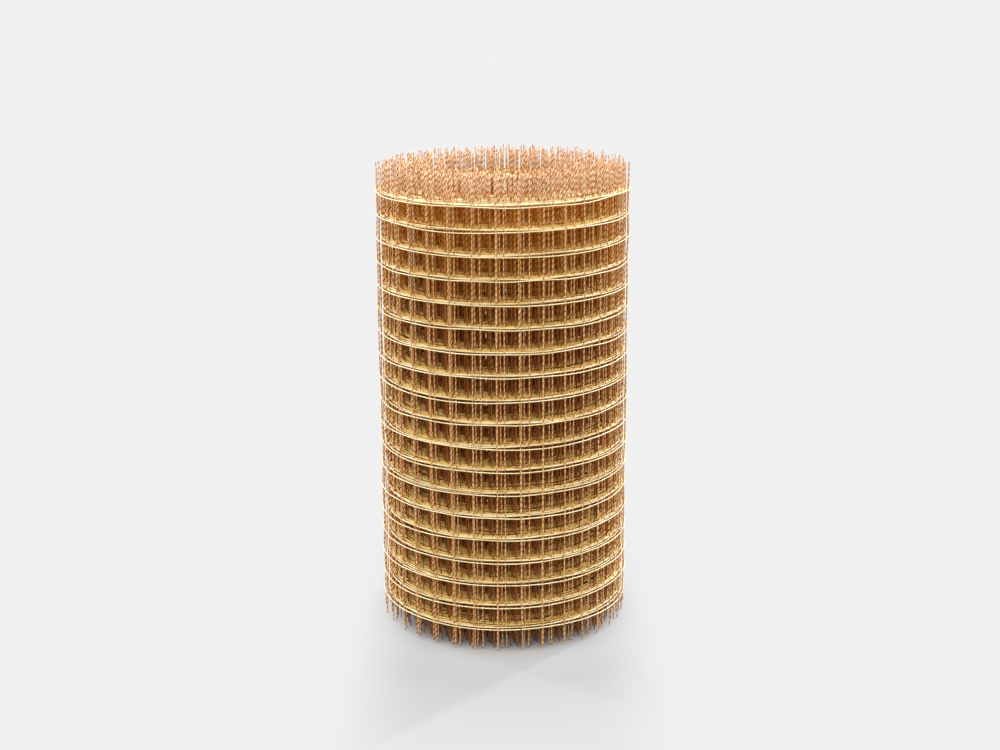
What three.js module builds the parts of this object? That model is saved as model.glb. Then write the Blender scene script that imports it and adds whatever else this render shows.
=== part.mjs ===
// Roll of glass-fibre composite reinforcement mesh with square cells, standing on its end.
// Millimetres, +Z up, origin at the centre of the roll's base.
// The wound sheet is one turned solid round an open bore. On both ends each turn shows as a ring,
// where its bar ends stand, with a V-shaped gap between it and the next turn. The first and the
// last turn have flat crests, and the turns between them have ridges of the same height. The
// lengthwise bars of the outermost turn stand proud of its cross bars, as rings round the wall.

import * as THREE from 'three';

// The flat sheet
const cellPitch = 50; // from bar to bar, both ways
const hoopLevels = 19; // lengthwise bars across the sheet's width
const freeEnd = 50; // cross bar left standing past the outermost lengthwise bar
const crossBar = 2.4; // thickness
const lengthwiseBar = 2.4; // thickness

// The winding
const boreRadius = 128;
const turnCount = 40;
const turnPitch = 3.54; // radial room that one turn takes
const gapDepth = 4; // how far the gap between two turns reaches into the end

// Facets in a full circle
const facetsRound = 28;

// Sizes that follow
const wallRadius = boreRadius + turnCount * turnPitch;
const outerRadius = wallRadius + lengthwiseBar;
const rollHeight = (hoopLevels - 1) * cellPitch + 2 * freeEnd;

// Corners of one end from the outer wall to the bore: the outermost turn's crest, the gap and
// the ridge of each turn inside it, and the innermost turn's crest. A crest is as wide as a
// cross bar is thick.
function endCorners(crestZ, gapZ) {
  const corners = [
    new THREE.Vector2(wallRadius, crestZ),
    new THREE.Vector2(wallRadius - crossBar, crestZ),
  ];
  for (let turn = 1; turn < turnCount - 1; turn += 1) {
    const gapRadius = wallRadius - turn * turnPitch;
    corners.push(new THREE.Vector2(gapRadius, gapZ));
    corners.push(new THREE.Vector2(gapRadius - turnPitch / 2, crestZ));
  }
  corners.push(new THREE.Vector2(boreRadius + turnPitch, gapZ));
  corners.push(new THREE.Vector2(boreRadius + crossBar, crestZ));
  corners.push(new THREE.Vector2(boreRadius, crestZ));
  return corners;
}

// Corners of the outer wall from the lowest lengthwise bar to the highest, each bar a pointed ring.
function wallCorners() {
  const corners = [];
  for (let level = 0; level < hoopLevels; level += 1) {
    const barZ = freeEnd + level * cellPitch;
    corners.push(new THREE.Vector2(wallRadius, barZ - lengthwiseBar / 2));
    corners.push(new THREE.Vector2(outerRadius, barZ));
    corners.push(new THREE.Vector2(wallRadius, barZ + lengthwiseBar / 2));
  }
  return corners;
}

// The closed profile runs in over the top end, down the bore, out over the base and back up
// the outer wall to its first corner.
function woundSheet() {
  const topEnd = endCorners(rollHeight, rollHeight - gapDepth);
  const baseEnd = endCorners(0, gapDepth).reverse();
  const profile = [...topEnd, ...baseEnd, ...wallCorners(), topEnd[0].clone()];
  const geometry = new THREE.LatheGeometry(profile, facetsRound);
  geometry.rotateX(Math.PI / 2);
  return geometry;
}

const composite = new THREE.MeshStandardMaterial({
  color: 0xb98c50,
  roughness: 0.5,
  metalness: 0,
});

const meshRoll = new THREE.Mesh(woundSheet(), composite);
meshRoll.name = 'mesh_roll';

const roll = new THREE.Group();
roll.add(meshRoll);

export default roll;
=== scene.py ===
"""A roll of glass-fibre composite mesh standing on its end, in metres, +Z up.

The sheet is built as it is wound: every lengthwise bar is a spiral of hoops, every cross bar
stands upright inside the hoops that it is bonded to, and beads of resin sit where they cross.
"""

import logging
import math
from dataclasses import dataclass, field
from enum import Enum

import bpy
import numpy as np
from mathutils import Matrix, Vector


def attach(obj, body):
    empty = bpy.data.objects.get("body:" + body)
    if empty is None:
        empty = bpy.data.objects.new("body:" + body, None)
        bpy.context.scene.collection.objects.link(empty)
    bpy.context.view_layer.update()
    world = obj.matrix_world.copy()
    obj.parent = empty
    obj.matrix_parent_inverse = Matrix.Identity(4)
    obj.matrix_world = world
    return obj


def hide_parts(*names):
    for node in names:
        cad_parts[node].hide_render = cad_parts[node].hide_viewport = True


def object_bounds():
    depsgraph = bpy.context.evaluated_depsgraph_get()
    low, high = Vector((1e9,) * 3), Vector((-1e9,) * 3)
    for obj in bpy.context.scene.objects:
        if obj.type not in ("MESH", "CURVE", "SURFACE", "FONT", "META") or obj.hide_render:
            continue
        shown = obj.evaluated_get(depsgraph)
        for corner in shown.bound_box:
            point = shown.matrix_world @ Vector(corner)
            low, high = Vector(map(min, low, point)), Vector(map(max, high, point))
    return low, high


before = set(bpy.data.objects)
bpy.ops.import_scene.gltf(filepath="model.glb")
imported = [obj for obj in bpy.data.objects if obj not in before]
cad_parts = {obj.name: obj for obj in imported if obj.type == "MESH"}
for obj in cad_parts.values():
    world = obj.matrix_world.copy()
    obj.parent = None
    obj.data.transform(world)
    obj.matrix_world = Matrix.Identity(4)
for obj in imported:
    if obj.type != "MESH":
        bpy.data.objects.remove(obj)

LOG = logging.getLogger("mesh_roll")
CAD_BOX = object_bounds()
ROLL_NODE = "mesh_roll"
ROOT_BODY = "root"
FULL_TURN = 2 * math.pi
CELL = 0.050  # from bar to bar, both ways
WRAP_PITCH = 0.012  # rise of the thread round a cross bar in one turn
STRAND_MAP = "Strand"
BAKE_MAP = "OFBake"
STRIPS = 32  # strands drawn side by side on a map, which all the bars share
STRIP_MARGIN = 0.12  # share of a strip's width that is kept clear on each side
HOOP_STRIP = 1.62  # metres of lengthwise bar that one strip of its map is long
BAR_STRIP = 1.025


class Winding(Enum):
    """Stretches of the wound sheet, in turns counted inwards from its outer end."""

    OUTER = (0.0, 1.05)
    NEAR = (1.05, 4.05)
    CORE = (4.05, 19.0)
    BORE = (19.0, 40.5)


class Ripple:
    """A smooth random wave along the sheet, with one row for each bar that follows it."""

    def __init__(
        self, rng: np.random.Generator, rows: int, reach: float, waves: tuple[float, float]
    ) -> None:
        """Draws the waves.

        Args:
            rng: Source of the random draws.
            rows: How many separate waves to make.
            reach: Root mean square height of each wave, in metres.
            waves: Shortest and longest wavelength, in metres.
        """
        count = 5
        self.rates = FULL_TURN / rng.uniform(*waves, (rows, 1, count))
        self.starts = rng.uniform(0, FULL_TURN, (rows, 1, count))
        sizes = rng.uniform(0.4, 1.0, (rows, 1, count))
        self.sizes = sizes * reach * math.sqrt(2) / np.sqrt((sizes**2).sum(-1, keepdims=True))

    def at(self, along: np.ndarray) -> np.ndarray:
        """Heights of the waves.

        Args:
            along: Places along the sheet, in metres.

        Returns:
            An array of rows by places.
        """
        swing = along[None, :, None] * self.rates + self.starts
        return (np.sin(swing) * self.sizes).sum(-1)


def eased(share: np.ndarray) -> np.ndarray:
    """A share from 0 to 1 with soft ends."""
    share = np.clip(share, 0, 1)
    return share * share * (3 - 2 * share)


@dataclass
class Sheet:
    """The mesh sheet and the spiral that it is wound into.

    Every place on the sheet is told by the length along it from the bore and by its level.
    """

    cell: float = CELL
    levels: int = 19
    lowest_level: float = 0.0480
    height: float = CAD_BOX[1][2]
    hoop_radius: float = 0.0012
    bar_radius: float = 0.0012
    seat: float = 0.00205  # from a hoop's middle to the middle of the bar bonded inside it
    inner_radius: float = 0.1325
    outer_radius: float = round(CAD_BOX[1][0], 4) - 0.0015
    turns: int = 40
    slack: float = 0.0045  # extra room under the outermost turn
    weave: float = 0.0004  # how far a hoop bulges at its own bars and dips between them
    sheet_lift: float = 0.0031  # how much higher than the outermost turn the others stand
    sheet_scatter: float = 0.0014
    hoop_scatter: float = 0.0011
    last_bar_angle: float = math.radians(53.5)
    end_stub: float = 0.018
    spacing_scatter: float = 0.0009
    spacing_drift: float = 0.0050
    bulge_reach: float = 0.00025
    loose_bulge_reach: float = 0.0011  # of single hoops in the loose outermost turn
    loose_sheet_reach: float = 0.0014
    oval: tuple[tuple[float, int], ...] = ((0.0008, 2), (0.0005, 3), (0.0004, 5))  # swell, lobes
    least_lift: float = 0.0004
    seed: int = 41
    arc: np.ndarray = field(init=False)
    wound: np.ndarray = field(init=False)
    bars: np.ndarray = field(init=False)

    def __post_init__(self) -> None:
        """Lays out the spiral, the cross bars' places along it and its unevenness."""
        rng = np.random.default_rng(self.seed)
        self.wound = np.linspace(0, FULL_TURN * self.turns, 40001)
        radius = self.plain_radius(self.wound)
        steps = np.diff(self.wound) * (radius[1:] + radius[:-1]) / 2
        self.arc = np.concatenate([[0.0], np.cumsum(steps)])
        last = self.arc[-1] - self.end_stub
        count = int((last - self.end_stub) / self.cell) + 1
        even = last - self.cell * np.arange(count)[::-1]
        drift = Ripple(rng, 1, self.spacing_drift, (1.0, 4.0)).at(even)[0]
        self.bars = even + drift - drift[-1]
        self.bar_jitter = rng.normal(0, self.spacing_scatter, count)
        self.shift = Ripple(rng, 1, self.sheet_scatter, (1.1, 5.0))
        self.lift = Ripple(rng, self.levels, self.hoop_scatter, (0.12, 0.9))
        self.bulge = Ripple(rng, self.levels, self.bulge_reach, (0.15, 0.8))
        self.loose_bulge = Ripple(rng, self.levels, self.loose_bulge_reach, (0.25, 1.2))
        self.loose_sheet = Ripple(rng, 1, self.loose_sheet_reach, (0.5, 1.7))
        self.out_of_round = rng.uniform(0, FULL_TURN, len(self.oval))

    def plain_radius(self, wound: np.ndarray) -> np.ndarray:
        """Radius of the hoops' middle at a wound angle, before any unevenness."""
        pitch = (self.outer_radius - self.inner_radius - self.slack) / self.turns
        turn = wound / FULL_TURN
        return self.inner_radius + pitch * turn + self.slack * self.looseness(turn)

    def looseness(self, turn: np.ndarray) -> np.ndarray:
        """Share from 0 to 1 of how far a turn belongs to the loose outermost one."""
        return eased((turn - (self.turns - 1.15)) / 0.3)

    def place(self, counted: np.ndarray) -> np.ndarray:
        """Lengths along the sheet of places that are counted in cross bars from the bore."""
        low = np.clip(counted.astype(int), 0, self.bars.size - 2)
        return self.bars[low] + (counted - low) * (self.bars[low + 1] - self.bars[low])

    def turn(self, along: np.ndarray) -> np.ndarray:
        """Turns wound at a place, counted from the bore."""
        return np.interp(along, self.arc, self.wound) / FULL_TURN

    def angle(self, along: np.ndarray) -> np.ndarray:
        """Direction from the axis at a place, in radians from +X."""
        last_bar = np.interp(self.bars[-1], self.arc, self.wound)
        return np.interp(along, self.arc, self.wound) - last_bar + self.last_bar_angle

    def hoop_radii(self, along: np.ndarray) -> np.ndarray:
        """Radius of each level's hoop, as levels by places."""
        turn = self.turn(along)
        loose = self.looseness(turn)
        angle = self.angle(along)
        oval = sum(
            swell * np.sin(lobes * angle + start)
            for (swell, lobes), start in zip(self.oval, self.out_of_round)
        )
        phase = FULL_TURN * np.interp(along, self.bars, np.arange(self.bars.size))
        plain = self.plain_radius(turn * FULL_TURN) + oval + self.weave * np.cos(phase)
        loose_part = self.loose_bulge.at(along) + self.loose_sheet.at(along)
        return plain + self.bulge.at(along) * (1 - loose) + loose_part * loose

    def hoop_heights(self, along: np.ndarray) -> np.ndarray:
        """Height of each level's hoop, as levels by places."""
        tight = 1 - self.looseness(self.turn(along))
        sheet = tight * np.maximum(self.sheet_lift + self.shift.at(along), self.least_lift)
        level = self.lowest_level + self.cell * np.arange(self.levels)
        return level[:, None] + sheet + self.lift.at(along)

    def cells(self, stretch: Winding) -> np.ndarray:
        """Numbers of the cross bars that stand in a stretch."""
        nearest, farthest = stretch.value
        inwards = self.turns - self.turn(self.bars)
        return np.nonzero((inwards >= nearest) & (inwards < farthest))[0]


@dataclass
class Strands:
    """Like strands in one mesh: paths of rings that are swept into tubes.

    The arrays are paths by rings by three, and paths by rings.
    """

    middle: np.ndarray
    across: np.ndarray
    above: np.ndarray
    radius: np.ndarray
    sides: int
    along: np.ndarray
    strip: np.ndarray
    strip_length: float
    first_side: float = 0.0

    def corners(self) -> np.ndarray:
        """Corners as paths by rings by sides by three."""
        angle = self.first_side + np.arange(self.sides) * FULL_TURN / self.sides
        round_it = np.cos(angle)[:, None], np.sin(angle)[:, None]
        spokes = (
            self.across[:, :, None, :] * round_it[0] + self.above[:, :, None, :] * round_it[1]
        )
        return self.middle[:, :, None, :] + spokes * self.radius[:, :, None, None]

    def mesh(self, name: str) -> bpy.types.Mesh:
        """Sweeps the strands.

        Args:
            name: The mesh's name.

        Returns:
            A mesh of closed tubes with a map of the strands and a map for baking.
        """
        paths, rings = self.middle.shape[:2]
        index = np.arange(paths * rings * self.sides).reshape(paths, rings, self.sides)
        turned = np.roll(index, -1, axis=2)
        quads = np.stack(
            [index[:, :-1], turned[:, :-1], turned[:, 1:], index[:, 1:]], axis=-1
        ).reshape(-1)
        start_caps = index[:, 0, ::-1].reshape(-1)
        end_caps = index[:, -1].reshape(-1)
        loops = np.concatenate([quads, start_caps, end_caps])
        quad_starts = np.arange(quads.size // 4) * 4
        cap_starts = quads.size + np.arange(2 * paths) * self.sides
        mesh = bpy.data.meshes.new(name)
        corners = self.corners()
        mesh.vertices.add(corners.size // 3)
        mesh.vertices.foreach_set("co", corners.astype(np.float32).ravel())
        mesh.loops.add(loops.size)
        mesh.loops.foreach_set("vertex_index", loops.astype(np.int32))
        mesh.polygons.add(quad_starts.size + cap_starts.size)
        starts = np.concatenate([quad_starts, cap_starts]).astype(np.int32)
        mesh.polygons.foreach_set("loop_start", starts)
        smooth = np.ones(starts.size, bool)
        smooth[quad_starts.size:] = False
        mesh.polygons.foreach_set("use_smooth", smooth)
        self.add_maps(mesh)
        mesh.update(calc_edges=True)
        mesh.validate()
        return mesh

    def add_maps(self, mesh: bpy.types.Mesh) -> None:
        """Gives every corner its strip, its share of the way round and its length along."""
        paths, rings = self.middle.shape[:2]
        side = np.arange(self.sides)
        shape = (paths, rings - 1, self.sides)
        low, high = side / self.sides, (side + 1) / self.sides
        around = np.stack([low, high, high, low], axis=-1)
        around = np.broadcast_to(around, shape + (4,))
        start, stop = self.along[:, :, 0], self.along[:, :, 1]
        along = np.stack([start, start, stop, stop], axis=-1)[:, :, None, :]
        along = np.broadcast_to(along, shape + (4,))
        strip = np.broadcast_to(self.strip[:, :, None, None], shape + (4,))
        cap_around = np.tile(low, 2 * paths)
        cap_along = np.concatenate(
            [np.repeat(start[:, 0], self.sides), np.repeat(stop[:, -1], self.sides)]
        )
        cap_strip = np.concatenate(
            [np.repeat(self.strip[:, 0], self.sides), np.repeat(self.strip[:, -1], self.sides)]
        )
        around = np.concatenate([around.reshape(-1), cap_around])
        along = np.concatenate([along.reshape(-1), cap_along])
        strip = np.concatenate([strip.reshape(-1), cap_strip])
        strand = np.stack([strip + around, along], axis=-1)
        inner = STRIP_MARGIN + around * (1 - 2 * STRIP_MARGIN)
        share = 0.005 + 0.99 * along / self.strip_length
        bake = np.stack([(strip + inner) / STRIPS, share], axis=-1)
        for name, places in ((STRAND_MAP, strand), (BAKE_MAP, bake)):
            layer = mesh.uv_layers.new(name=name)
            layer.data.foreach_set("uv", places.astype(np.float32).ravel())


class Value:
    """A number that varies over a surface. Its operators add Math nodes."""

    def __init__(self, paint: "Paint", socket: bpy.types.NodeSocket) -> None:
        """Wraps one output socket."""
        self.paint = paint
        self.socket = socket

    def _math(self, operation: str, first: object, second: object = 0.0) -> "Value":
        """Adds one Math node."""
        sockets = {0: first, 1: second}
        return self.paint.value("ShaderNodeMath", {"operation": operation}, sockets)

    def __add__(self, other: object) -> "Value":
        """Self plus other."""
        return self._math("ADD", self, other)

    __radd__ = __add__

    def __sub__(self, other: object) -> "Value":
        """Self minus other."""
        return self._math("SUBTRACT", self, other)

    def __rsub__(self, other: object) -> "Value":
        """Other minus self."""
        return self._math("SUBTRACT", other, self)

    def __mul__(self, other: object) -> "Value":
        """Self times other."""
        return self._math("MULTIPLY", self, other)

    __rmul__ = __mul__

    def __truediv__(self, other: object) -> "Value":
        """Self over other."""
        return self._math("DIVIDE", self, other)

    def floor(self) -> "Value":
        """The whole number below."""
        return self._math("FLOOR", self)

    def fraction(self) -> "Value":
        """The part after the point."""
        return self._math("FRACT", self)

    def sine(self) -> "Value":
        """Sine of the number, in radians."""
        return self._math("SINE", self)

    def cosine(self) -> "Value":
        """Cosine of the number, in radians."""
        return self._math("COSINE", self)

    def distance_to_whole(self) -> "Value":
        """How far the number is from the nearest whole number."""
        return self._math("PINGPONG", self, 0.5)

    def ramp(self, low: float, high: float) -> "Value":
        """A share from 0 at low to 1 at high with soft ends."""
        settings = {"interpolation_type": "SMOOTHSTEP"}
        sockets = {"Value": self, "From Min": low, "From Max": high}
        return self.paint.value("ShaderNodeMapRange", settings, sockets)


class Paint:
    """A tree of nodes, and the few ways in which nodes are added to it."""

    def __init__(self, tree: bpy.types.NodeTree) -> None:
        """Wraps a tree that has its own output, as a world's has."""
        self.tree = tree

    def node(
        self, kind: str, settings: dict[str, object], sockets: dict[object, object], output: object = 0
    ) -> bpy.types.NodeSocket:
        """Adds one node.

        Args:
            kind: The node's type.
            settings: Its properties, set before its sockets.
            sockets: A value or a link for each input, by name or number.
            output: Which output to give back.

        Returns:
            That output socket.
        """
        made = self.tree.nodes.new(kind)
        for name, setting in settings.items():
            setattr(made, name, setting)
        for key, given in sockets.items():
            self.feed(made.inputs[key], given)
        return made.outputs[output]

    def feed(self, socket: bpy.types.NodeSocket, given: object) -> None:
        """Links a socket to another one or a value, or sets its constant."""
        if isinstance(given, Value):
            given = given.socket
        if isinstance(given, bpy.types.NodeSocket):
            self.tree.links.new(given, socket)
        else:
            socket.default_value = given

    def value(
        self, kind: str, settings: dict[str, object], sockets: dict[object, object], output: object = 0
    ) -> Value:
        """Adds one node whose output is a number."""
        return Value(self, self.node(kind, settings, sockets, output))

    def mix(self, share: object, first: object, second: object) -> bpy.types.NodeSocket:
        """A colour between two others."""
        sockets = {"Factor": share, 6: first, 7: second}
        return self.node("ShaderNodeMix", {"data_type": "RGBA"}, sockets, 2)

    def noise(self, place: object, scale: float, detail: float = 2.0) -> Value:
        """Soft noise from 0 to 1 at a place."""
        sockets = {"Vector": place, "Scale": scale, "Detail": detail}
        return self.value("ShaderNodeTexNoise", {}, sockets)

    def place(self, x: object, y: object, z: object) -> bpy.types.NodeSocket:
        """A vector from three numbers."""
        return self.node("ShaderNodeCombineXYZ", {}, {0: x, 1: y, 2: z})


class Surface(Paint):
    """One node material, with its Principled shader."""

    def __init__(self, name: str) -> None:
        """Starts a material."""
        self.material = bpy.data.materials.new(name)
        self.material.use_nodes = True
        super().__init__(self.material.node_tree)
        self.tree.nodes.clear()
        self.shader = self.tree.nodes.new("ShaderNodeBsdfPrincipled")
        self.output = self.tree.nodes.new("ShaderNodeOutputMaterial")
        self.tree.links.new(self.shader.outputs[0], self.output.inputs["Surface"])

    def strand(self) -> tuple[Value, Value, Value]:
        """The strip, the share of the way round and the length along in metres."""
        place = self.node("ShaderNodeUVMap", {"uv_map": STRAND_MAP}, {})
        across = self.value("ShaderNodeSeparateXYZ", {}, {0: place}, "X")
        along = Value(self, across.socket.node.outputs["Y"])
        return across.floor(), across.fraction(), along

    def height(self) -> Value:
        """Height above the roll's base, in metres."""
        place = self.node("ShaderNodeTexCoord", {}, {}, "Object")
        return self.value("ShaderNodeSeparateXYZ", {}, {0: place}, "Z")

    def bump(self, height: object, strength: float, distance: float) -> None:
        """Feeds the shader's normal from a height."""
        sockets = {"Height": height, "Strength": strength, "Distance": distance}
        self.feed(self.shader.inputs["Normal"], self.node("ShaderNodeBump", {}, sockets))

    def set(self, **sockets: object) -> None:
        """Sets or links the shader's sockets, with underscores for spaces in their names."""
        for name, given in sockets.items():
            self.feed(self.shader.inputs[name.replace("_", " ")], given)


def srgb(red: int, green: int, blue: int) -> tuple[float, float, float, float]:
    """A colour told in screen numbers, as the linear colour that shaders take."""
    shares = (red / 255, green / 255, blue / 255)
    linear = [s / 12.92 if s <= 0.04045 else ((s + 0.055) / 1.055) ** 2.4 for s in shares]
    return (*linear, 1.0)


@dataclass(frozen=True)
class HoopFinish:
    """Smooth cream-yellow roving with fine streaks along it and amber resin at the crossings."""

    name: str = "hoop_roving"
    pale: tuple[float, ...] = srgb(236, 222, 180)
    deep: tuple[float, ...] = srgb(218, 190, 126)
    amber: tuple[float, ...] = srgb(160, 92, 28)
    # Painted shade: a deeper, warmer colour that stands in for the shade between the inner turns and the
    # warm light bounced among them
    shade: tuple[float, ...] = srgb(213, 165, 63)
    painted_shade_share: float = 0.0  # how far a hoop below the highest one turns to the painted shade colour
    shade_top: float = 0.93  # height above which it doesn't
    streak_stretch: float = 14.0

    def material(self) -> bpy.types.Material:
        """Builds the material."""
        paint = Surface(self.name)
        strip, around, along = paint.strand()
        turned = around * FULL_TURN
        place = paint.place(turned.cosine(), turned.sine(), along * self.streak_stretch + strip * 7.3)
        streaks = paint.noise(place, 2.6, 3.0)
        patches = paint.noise(paint.place(strip * 3.1, 0.0, along * 11.0), 1.0, 2.0)
        tone = (streaks * 0.55 + patches * 0.45).ramp(0.34, 0.66)
        crossing = (along / CELL).distance_to_whole()
        resin = 1 - crossing.ramp(0.012, 0.075)
        spread = paint.noise(paint.place(strip * 1.7, around, along * 40.0), 1.0, 2.0).ramp(0.4, 0.62)
        colour = paint.mix(tone, self.pale, self.deep)
        colour = paint.mix(resin * spread * 0.75, colour, self.amber)
        # Painted shade: below the highest level the hoop's colour turns to the shade colour, and its
        # specular and coat are lowered with it
        if self.painted_shade_share:
            height = paint.height()
            inside = 1 - height.ramp(self.shade_top, self.shade_top + 0.01)
            colour = paint.mix(inside * self.painted_shade_share, colour, self.shade)
            paint.set(Specular_IOR_Level=0.1)
        paint.set(Base_Color=colour, Roughness=0.3 + streaks * 0.2)
        paint.set(Coat_Weight=0.0 if self.painted_shade_share else 0.3, Coat_Roughness=0.2)
        paint.bump(streaks, 0.25, 0.0004)
        return paint.material


@dataclass(frozen=True)
class BarFinish:
    """Tan rod bound with a red-brown thread that climbs round it as a right-hand helix."""

    name: str = "wrapped_cross_bar"
    pale: tuple[float, ...] = srgb(234, 190, 130)
    deep: tuple[float, ...] = srgb(206, 154, 88)
    lit_tip: tuple[float, ...] = srgb(226, 200, 170)
    lit_tip_share: float = 0.6  # how far the free top end pales to the lit tip's colour: painted light from above
    thread: tuple[float, ...] = srgb(132, 54, 24)
    # Painted shade for the inner bars: dark warm brown low down, paler higher up, where more light falls
    # from above
    low_shade: tuple[float, ...] = srgb(144, 76, 18)
    high_shade: tuple[float, ...] = srgb(212, 140, 42)
    shade_rise: tuple[float, float] = (0.60, 0.92)  # heights over which the painted shade goes from the low colour to the high one
    painted_shade_share: float = 0.0  # how far a bar darkens to the painted shade below its top end
    shade_top: float = 0.945
    amber: tuple[float, ...] = srgb(160, 90, 26)
    thread_width: float = 0.19  # share of the way round that the thread covers

    def material(self) -> bpy.types.Material:
        """Builds the material."""
        paint = Surface(self.name)
        strip, around, along = paint.strand()
        turned = around * FULL_TURN
        drift = paint.noise(paint.place(strip * 5.7, 0.0, along * 9.0), 1.0, 1.0)
        winding = along / WRAP_PITCH - around + drift * 1.2
        off_thread = winding.distance_to_whole()
        thread = 1 - off_thread.ramp(self.thread_width * 0.45, self.thread_width)
        worn = paint.noise(paint.place(strip * 2.3, around * 2.0, along * 160.0), 1.0, 2.0)
        fibres = paint.noise(
            paint.place(turned.cosine(), turned.sine(), along * 22.0 + strip * 5.1), 3.2, 3.0
        )
        patches = paint.noise(paint.place(strip * 4.1, 0.0, along * 16.0), 1.0, 2.0)
        tone = (fibres * 0.6 + patches * 0.4).ramp(0.34, 0.66)
        free_end = along.ramp(self.shade_top, self.shade_top + 0.03)
        colour = paint.mix(tone, self.pale, self.deep)
        # Painted light: the free top ends are paler, standing in for the light that falls on them from
        # above
        colour = paint.mix(free_end * self.lit_tip_share, colour, self.lit_tip)
        # Painted shade: below its free top end the bar's colour turns to a dark warm brown, paler
        # towards the top, standing in for the shade inside the roll
        if self.painted_shade_share:
            shade = paint.mix(along.ramp(*self.shade_rise), self.low_shade, self.high_shade)
            colour = paint.mix((1 - free_end) * self.painted_shade_share, colour, shade)
        colour = paint.mix(thread * worn.ramp(0.1, 0.35), colour, self.thread)
        crossing = (along / CELL).distance_to_whole()
        resin = (1 - crossing.ramp(0.03, 0.09)) * patches.ramp(0.4, 0.6)
        colour = paint.mix(resin * 0.6, colour, self.amber)
        paint.set(Base_Color=colour, Roughness=0.42 + fibres * 0.25)
        paint.set(Specular_IOR_Level=0.1 if self.painted_shade_share else 0.3)
        paint.bump(fibres * 0.25 - thread, 0.6, 0.0005)
        return paint.material


@dataclass(frozen=True)
class KnotFinish:
    """Glossy amber resin."""

    pale: tuple[float, ...] = srgb(204, 142, 62)
    deep: tuple[float, ...] = srgb(140, 68, 20)

    def material(self) -> bpy.types.Material:
        """Builds the material."""
        paint = Surface("resin_knot")
        strip, around, along = paint.strand()
        tone = paint.noise(paint.place(strip * 3.7, around, along * 60.0), 1.0, 1.0).ramp(0.36, 0.64)
        paint.set(Base_Color=paint.mix(tone, self.pale, self.deep), Roughness=0.22)
        paint.set(Coat_Weight=0.5, Coat_Roughness=0.1)
        return paint.material


@dataclass
class Hoops:
    """The lengthwise bars over one or more stretches of the winding, one path for each level."""

    sheet: Sheet
    name: str
    stretches: tuple[Winding, ...]
    steps: int  # rings in each cell
    sides: int
    inner_stub: float = 0.2  # cells of hoop past the innermost cross bar
    outer_stub: float = 0.3
    thickness_scatter: float = 0.00005

    def places(self) -> np.ndarray:
        """Places of the rings, counted in cross bars, with a cut stub past the sheet's own ends."""
        numbers = np.concatenate([self.sheet.cells(stretch) for stretch in self.stretches])
        first, last = numbers.min(), numbers.max()
        at_end = last == self.sheet.bars.size - 1
        stop = last if at_end else last + 1
        inner = np.arange(first * self.steps, stop * self.steps + 1) / self.steps
        head = [-self.inner_stub] if first == 0 else []
        tail = [inner[-1] + self.outer_stub] if at_end else []
        return np.concatenate([head, inner, tail])

    def strands(self, rng: np.random.Generator) -> Strands:
        """Rings of every level's hoop."""
        counted = self.places()
        along = self.sheet.place(counted)
        angle = self.sheet.angle(along)
        radius = self.sheet.hoop_radii(along)
        height = self.sheet.hoop_heights(along)
        outward = np.stack([np.cos(angle), np.sin(angle), np.zeros_like(angle)], axis=-1)
        levels = self.sheet.levels
        middle = outward[None] * radius[:, :, None]
        middle[:, :, 2] = height
        across = np.broadcast_to(outward, middle.shape)
        above = np.zeros_like(middle)
        above[:, :, 2] = 1.0
        thickness = Ripple(rng, levels, self.thickness_scatter, (0.08, 0.5)).at(along)
        cell = self.sheet.cell
        run_cells = int(HOOP_STRIP / cell)
        run = np.floor((counted[:-1] + 1) / run_cells).astype(int)
        start = (counted[:-1] + 1 - run * run_cells) * cell
        stop = (counted[1:] + 1 - run * run_cells) * cell
        draws = rng.integers(0, STRIPS, (levels, run.max() + 1))
        lengths = np.broadcast_to(np.stack([start, stop], axis=-1), (levels, start.size, 2))
        return Strands(
            middle=middle,
            across=across,
            above=above,
            radius=self.sheet.hoop_radius + thickness,
            sides=self.sides,
            along=lengths,
            strip=draws[:, run],
            strip_length=HOOP_STRIP,
        )


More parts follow.
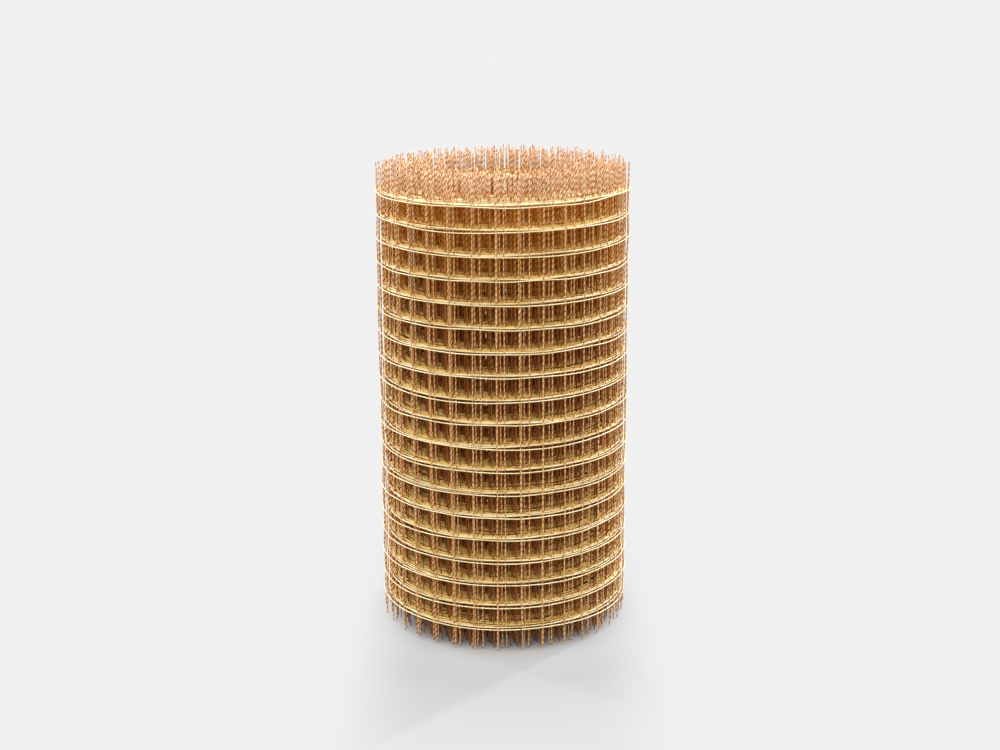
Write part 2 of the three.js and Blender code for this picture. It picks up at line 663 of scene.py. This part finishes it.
@dataclass
class CrossBars:
    """The upright bars of one stretch of the winding, each with its free ends."""

    sheet: Sheet
    name: str
    stretch: Winding
    cell_steps: int  # rings in each cell
    end_steps: int  # rings in each free end
    sides: int
    wave: float  # how far the wrapped rod swings off its own line
    lean: float = 0.0014
    crook: float = 0.0003
    splay: float = 0.0016
    top_scatter: float = 0.0047
    base_scatter: float = 0.0013
    foot_share: float = 0.3  # share of the sheet's lift that a foot takes part in
    highest_foot: float = 0.008
    below_top: float = 0.002
    top_limits: tuple[float, float] = (-0.014, 0.007)
    thickness_range: tuple[float, float] = (0.92, 1.1)

    def strands(self, rng: np.random.Generator) -> Strands:
        """Rings of every bar, from its foot to its top."""
        sheet = self.sheet
        numbers = sheet.cells(self.stretch)
        count = numbers.size
        along = sheet.bars[numbers]
        hoop_radii = sheet.hoop_radii(along).T
        hoop_heights = sheet.hoop_heights(along).T
        foot = np.abs(rng.normal(0, self.base_scatter, count))
        lifted = np.maximum(hoop_heights[:, 0] - sheet.lowest_level, 0)
        foot = np.minimum(foot + lifted * self.foot_share, self.highest_foot)
        top = sheet.height - self.below_top + (hoop_heights[:, -1] - hoop_heights[:, -1].min())
        top = top + np.clip(rng.normal(0, self.top_scatter, count), *self.top_limits)
        knots = np.concatenate([foot[:, None], hoop_heights, top[:, None]], axis=1)
        radii = np.concatenate([hoop_radii[:, :1], hoop_radii, hoop_radii[:, -1:]], axis=1) - sheet.seat
        radii[:, [0, -1]] += rng.normal(0, self.splay * 0.6, (count, 2))
        lean = rng.normal(0, self.lean, (count, 1)) * np.linspace(-1, 1, knots.shape[1])
        aside = lean + rng.normal(0, self.crook, knots.shape) + sheet.bar_jitter[numbers][:, None]
        aside[:, [0, -1]] += rng.normal(0, self.splay, (count, 2))
        stations = self.stations()
        height = self.between(knots, stations)
        radius = self.between(radii, stations)
        tangent = self.between(aside, stations)
        cell = sheet.cell
        marks = cell * np.arange(sheet.levels + 2) * np.ones((count, 1))
        marks[:, 0] = cell - (hoop_heights[:, 0] - foot)
        marks[:, -1] = cell * sheet.levels + (top - hoop_heights[:, -1])
        length = np.maximum(self.between(marks, stations), 0.0)
        strip = rng.integers(0, STRIPS, count)
        turned = FULL_TURN * length / WRAP_PITCH + strip[:, None] * 1.3
        angle = sheet.angle(along)[:, None] * np.ones((1, stations.size))
        out = np.stack([np.cos(angle), np.sin(angle), np.zeros_like(angle)], axis=-1)
        side = np.stack([-np.sin(angle), np.cos(angle), np.zeros_like(angle)], axis=-1)
        sway = self.wave * np.sin(turned), self.wave * np.cos(turned)
        middle = out * (radius + sway[0])[:, :, None] + side * (tangent + sway[1])[:, :, None]
        middle[:, :, 2] = height
        thick = sheet.bar_radius * rng.uniform(*self.thickness_range, (count, 1)) * np.ones_like(height)
        thick = thick * (1 + 0.03 * np.sin(turned * 0.5 + strip[:, None]))
        lengths = np.stack([length[:, :-1], length[:, 1:]], axis=-1)
        return Strands(
            middle=middle,
            across=side,
            above=-out,
            radius=thick,
            sides=self.sides,
            along=lengths,
            strip=np.broadcast_to(strip[:, None], (count, stations.size - 1)),
            strip_length=BAR_STRIP,
            first_side=0.4,
        )

    def stations(self) -> np.ndarray:
        """Places of the rings, counted in knots: the foot, each level and the top."""
        last = self.sheet.levels + 1
        foot = np.arange(self.end_steps) / self.end_steps
        body = 1 + np.arange((last - 2) * self.cell_steps) / self.cell_steps
        top = last - 1 + np.arange(self.end_steps + 1) / self.end_steps
        return np.concatenate([foot, body, top])

    @staticmethod
    def between(knots: np.ndarray, stations: np.ndarray) -> np.ndarray:
        """Values at the stations, on straight lines between the knots."""
        low = np.minimum(stations.astype(int), knots.shape[1] - 2)
        share = stations - low
        return knots[:, low] * (1 - share) + knots[:, low + 1] * share


@dataclass
class Knots:
    """Beads of resin that hold the bars together where they cross."""

    sheet: Sheet
    name: str
    stretches: tuple[Winding, ...]
    sides: int = 5
    length: float = 0.0031  # half of the bead's length along the hoop
    radius: float = 0.0017
    flatness: float = 0.9  # thickness across the sheet, against the bead's height
    aside_scatter: float = 0.0006
    height_scatter: float = 0.0004

    def strands(self, rng: np.random.Generator) -> Strands:
        """Rings of every bead, along its hoop."""
        sheet = self.sheet
        numbers = np.concatenate([sheet.cells(stretch) for stretch in self.stretches])
        along = sheet.bars[numbers]
        count = along.size * sheet.levels
        angle = np.tile(sheet.angle(along), sheet.levels)[:, None]
        out = np.stack([np.cos(angle), np.sin(angle), 0 * angle], axis=-1)
        side = np.stack([-np.sin(angle), np.cos(angle), 0 * angle], axis=-1)
        seat = sheet.hoop_radii(along).reshape(-1, 1) - sheet.seat * rng.uniform(0.2, 0.8, (count, 1))
        stations = np.array([-1.0, -0.4, 0.4, 1.0])
        swell = np.array([0.35, 0.95, 0.95, 0.35])
        length = self.length * rng.uniform(0.6, 1.3, (count, 1)) * stations
        off = np.tile(sheet.bar_jitter[numbers], sheet.levels)[:, None]
        off = off + rng.normal(0, self.aside_scatter, (count, 1))
        middle = out * seat[:, :, None] + side * (length + off)[:, :, None]
        height = sheet.hoop_heights(along).reshape(-1, 1)
        middle[:, :, 2] = height + rng.normal(0, self.height_scatter, (count, 1))
        above = np.zeros((count, stations.size, 3))
        above[:, :, 2] = 1.0
        ring = (rng.uniform(0.0, 0.95, (count, 1)) + 0.008 * np.arange(stations.size))[:, :, None]
        strip = rng.integers(0, STRIPS, (count, 1)) * np.ones((1, stations.size - 1), int)
        return Strands(
            middle=middle,
            across=np.broadcast_to(out * self.flatness, middle.shape),
            above=above,
            radius=self.radius * rng.uniform(0.7, 1.15, (count, 1)) * swell,
            sides=self.sides,
            along=np.concatenate([ring[:, :-1], ring[:, 1:]], axis=-1),
            strip=strip,
            strip_length=1.0,
        )


@dataclass
class Roll:
    """The whole roll: its hoops, its cross bars and their finishes."""

    sheet: Sheet = field(default_factory=Sheet)
    seed: int = 7

    def build(self) -> list[bpy.types.Object]:
        """Builds and dresses every piece of the roll.

        Returns:
            The pieces.
        """
        sheet = self.sheet
        hoop_finish = HoopFinish().material()
        # The inner turns' hoops get a dimmer colour at the highest level and painted shade below it,
        # standing in for the shade between the turns
        dim_tone_and_painted_shade = {"pale": srgb(216, 203, 164), "deep": srgb(200, 173, 120), "painted_shade_share": 0.9}
        core_finish = HoopFinish("core_roving", shade=srgb(238, 200, 114), **dim_tone_and_painted_shade).material()
        bore_finish = HoopFinish("bore_roving", shade=srgb(196, 150, 68), **dim_tone_and_painted_shade).material()
        bar_finish = BarFinish().material()
        # The inner turns' bars get painted shade below their free ends
        shaded_finish = BarFinish("shaded_cross_bar", painted_shade_share=0.85).material()
        knot_finish = KnotFinish().material()
        outer = (Winding.NEAR, Winding.OUTER)
        parts = [
            (Hoops(sheet, "bore_hoops", (Winding.BORE,), 2, 4), bore_finish),
            (Hoops(sheet, "core_hoops", (Winding.CORE,), 2, 4), core_finish),
            (Hoops(sheet, "outer_hoops", outer, 4, 6), hoop_finish),
            (CrossBars(sheet, "bore_cross_bars", Winding.BORE, 1, 5, 4, 0.0001), shaded_finish),
            (CrossBars(sheet, "core_cross_bars", Winding.CORE, 1, 5, 4, 0.0001), shaded_finish),
            (CrossBars(sheet, "near_cross_bars", Winding.NEAR, 7, 7, 5, 0.0001), bar_finish),
            (CrossBars(sheet, "outer_cross_bars", Winding.OUTER, 16, 16, 6, 0.0001), bar_finish),
            (Knots(sheet, "resin_knots", outer), knot_finish),
        ]
        made = []
        for number, (part, finish) in enumerate(parts):
            rng = np.random.default_rng(self.seed + number)
            piece = bpy.data.objects.new(part.name, part.strands(rng).mesh(part.name))
            piece.data.materials.append(finish)
            bpy.context.scene.collection.objects.link(piece)
            faces = sum(len(face.vertices) - 2 for face in piece.data.polygons)
            LOG.info("%s: %d triangles", part.name, faces)
            made.append(piece)
        return made


@dataclass
class Studio:
    """Pale floor in even light, two lights behind the roll, and the camera."""

    camera_back: float = 3.509
    camera_height: float = 1.480
    pitch_down: float = math.radians(15.08)
    yaw: float = -0.0022
    roll: float = -0.0062
    lens_pixels: float = 1657.5
    picture_width: float = 1000.0
    sensor: float = 36.0
    floor_tone: tuple[float, ...] = (0.264, 0.264, 0.264, 1.0)
    backdrop: tuple[float, ...] = srgb(240, 240, 240)
    painted_light_lift: float = 1.15  # how much paler the floor is painted at the roll's foot: painted light against the shade there
    near_to: tuple[float, float] = (0.30, 0.43)  # distance over which it turns to the floor's tone
    even_from: tuple[float, float] = (0.16, 0.36)  # how far aside the floor turns to even light
    low_light: float = 0.9
    high_light: float = 3.3
    front_shade: float = 0.6  # share of the low light that is missing on the camera's side
    high_shade: float = 0.2
    sun_angle: float = math.radians(3.0)

    def camera(self) -> None:
        """Sets the camera at the photograph's place and angle."""
        data = bpy.data.cameras.new("camera")
        data.sensor_width = self.sensor
        data.lens = self.lens_pixels / self.picture_width * self.sensor
        camera = bpy.data.objects.new("camera", data)
        bpy.context.scene.collection.objects.link(camera)
        sin_p, cos_p = math.sin(self.pitch_down), math.cos(self.pitch_down)
        sin_y, cos_y = math.sin(self.yaw), math.cos(self.yaw)
        sin_r, cos_r = math.sin(self.roll), math.cos(self.roll)
        right = np.array([cos_y, -sin_y, 0.0])
        ahead = np.array([sin_y * cos_p, cos_y * cos_p, -sin_p])
        above = np.array([sin_y * sin_p, cos_y * sin_p, cos_p])
        tilted_right = right * cos_r + above * sin_r
        tilted_above = above * cos_r - right * sin_r
        axes = np.stack([tilted_right, tilted_above, -ahead], axis=1)
        matrix = Matrix(axes.tolist()).to_4x4()
        matrix.translation = (0.0, -self.camera_back, self.camera_height)
        camera.matrix_world = matrix
        bpy.context.scene.camera = camera

    def floor(self) -> bpy.types.Object:
        """Makes the floor, which reaches past the top of the picture."""
        half, front, back = 60.0, -60.0, 60.0
        places = [(-half, front, 0.0), (half, front, 0.0), (half, back, 0.0), (-half, back, 0.0)]
        mesh = bpy.data.meshes.new("studio_floor")
        mesh.from_pydata(places, [], [(0, 1, 2, 3)])
        floor = bpy.data.objects.new("studio_floor", mesh)
        bpy.context.scene.collection.objects.link(floor)
        paint = Surface("pale_floor")
        place = paint.node("ShaderNodeTexCoord", {}, {}, "Object")
        away = paint.value("ShaderNodeVectorMath", {"operation": "LENGTH"}, {0: place}, "Value")
        # Painted light: the floor is paler near the roll's foot, against the shade that the roll casts
        # there
        painted_light_tone = tuple(self.painted_light_lift * tone for tone in self.floor_tone)
        colour = paint.mix(away.ramp(*self.near_to), painted_light_tone, self.floor_tone)
        paint.set(Base_Color=colour, Roughness=0.85, Specular_IOR_Level=0.0)
        aside = paint.value("ShaderNodeSeparateXYZ", {}, {0: place}, "X")
        even = paint.value("ShaderNodeMath", {"operation": "ABSOLUTE"}, {0: aside}).ramp(*self.even_from)
        glow = paint.node("ShaderNodeEmission", {}, {"Color": self.backdrop, "Strength": 1.0})
        surface = paint.node("ShaderNodeMixShader", {}, {0: even, 1: paint.shader.outputs[0], 2: glow})
        paint.feed(paint.output.inputs["Surface"], surface)
        mesh.materials.append(paint.material)
        return floor

    def sun(self, name: str, azimuth: float, height: float, power: float) -> None:
        """Adds a far light.

        Args:
            name: The light's name.
            azimuth: Where it stands, in degrees from +X towards +Y.
            height: How high it stands, in degrees.
            power: Its strength, in watts per square metre.
        """
        data = bpy.data.lights.new(name, "SUN")
        data.energy = power
        data.angle = self.sun_angle
        light = bpy.data.objects.new(name, data)
        bpy.context.scene.collection.objects.link(light)
        light.rotation_euler = (0.0, math.radians(90.0 - height), math.radians(azimuth))

    def lights(self) -> None:
        """Adds the pale surroundings and the two lights that stand behind the roll."""
        world = bpy.data.worlds.new("surroundings")
        world.use_nodes = True
        paint = Paint(world.node_tree)
        toward = paint.node("ShaderNodeTexCoord", {}, {}, "Generated")
        side = paint.value("ShaderNodeSeparateXYZ", {}, {0: toward}, "Y")
        up = Value(paint, side.socket.node.outputs["Z"])
        front = (0 - side).ramp(0.0, 0.9)
        low = self.low_light * (1 - front * self.front_shade)
        high = self.high_light * up.ramp(0.05, 1.0) * (1 - front * self.high_shade)
        background = world.node_tree.nodes["Background"]
        paint.feed(background.inputs["Strength"], low + high)
        bpy.context.scene.world = world
        background.inputs["Color"].default_value = (1.0, 1.0, 1.0, 1.0)
        self.sun("right_light", 49.0, 36.0, 1.25)
        self.sun("left_light", 142.4, 36.0, 0.75)


def main() -> None:
    """Builds the roll, the studio and the camera."""
    logging.basicConfig(level=logging.INFO, format="%(name)s: %(message)s")
    bpy.context.scene.view_settings.view_transform = "Standard"
    pieces = Roll().build()
    for piece in pieces:
        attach(piece, ROOT_BODY)
    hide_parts(ROLL_NODE)
    studio = Studio()
    studio.camera()
    studio.floor()
    studio.lights()


if __name__ == "__main__":
    main()
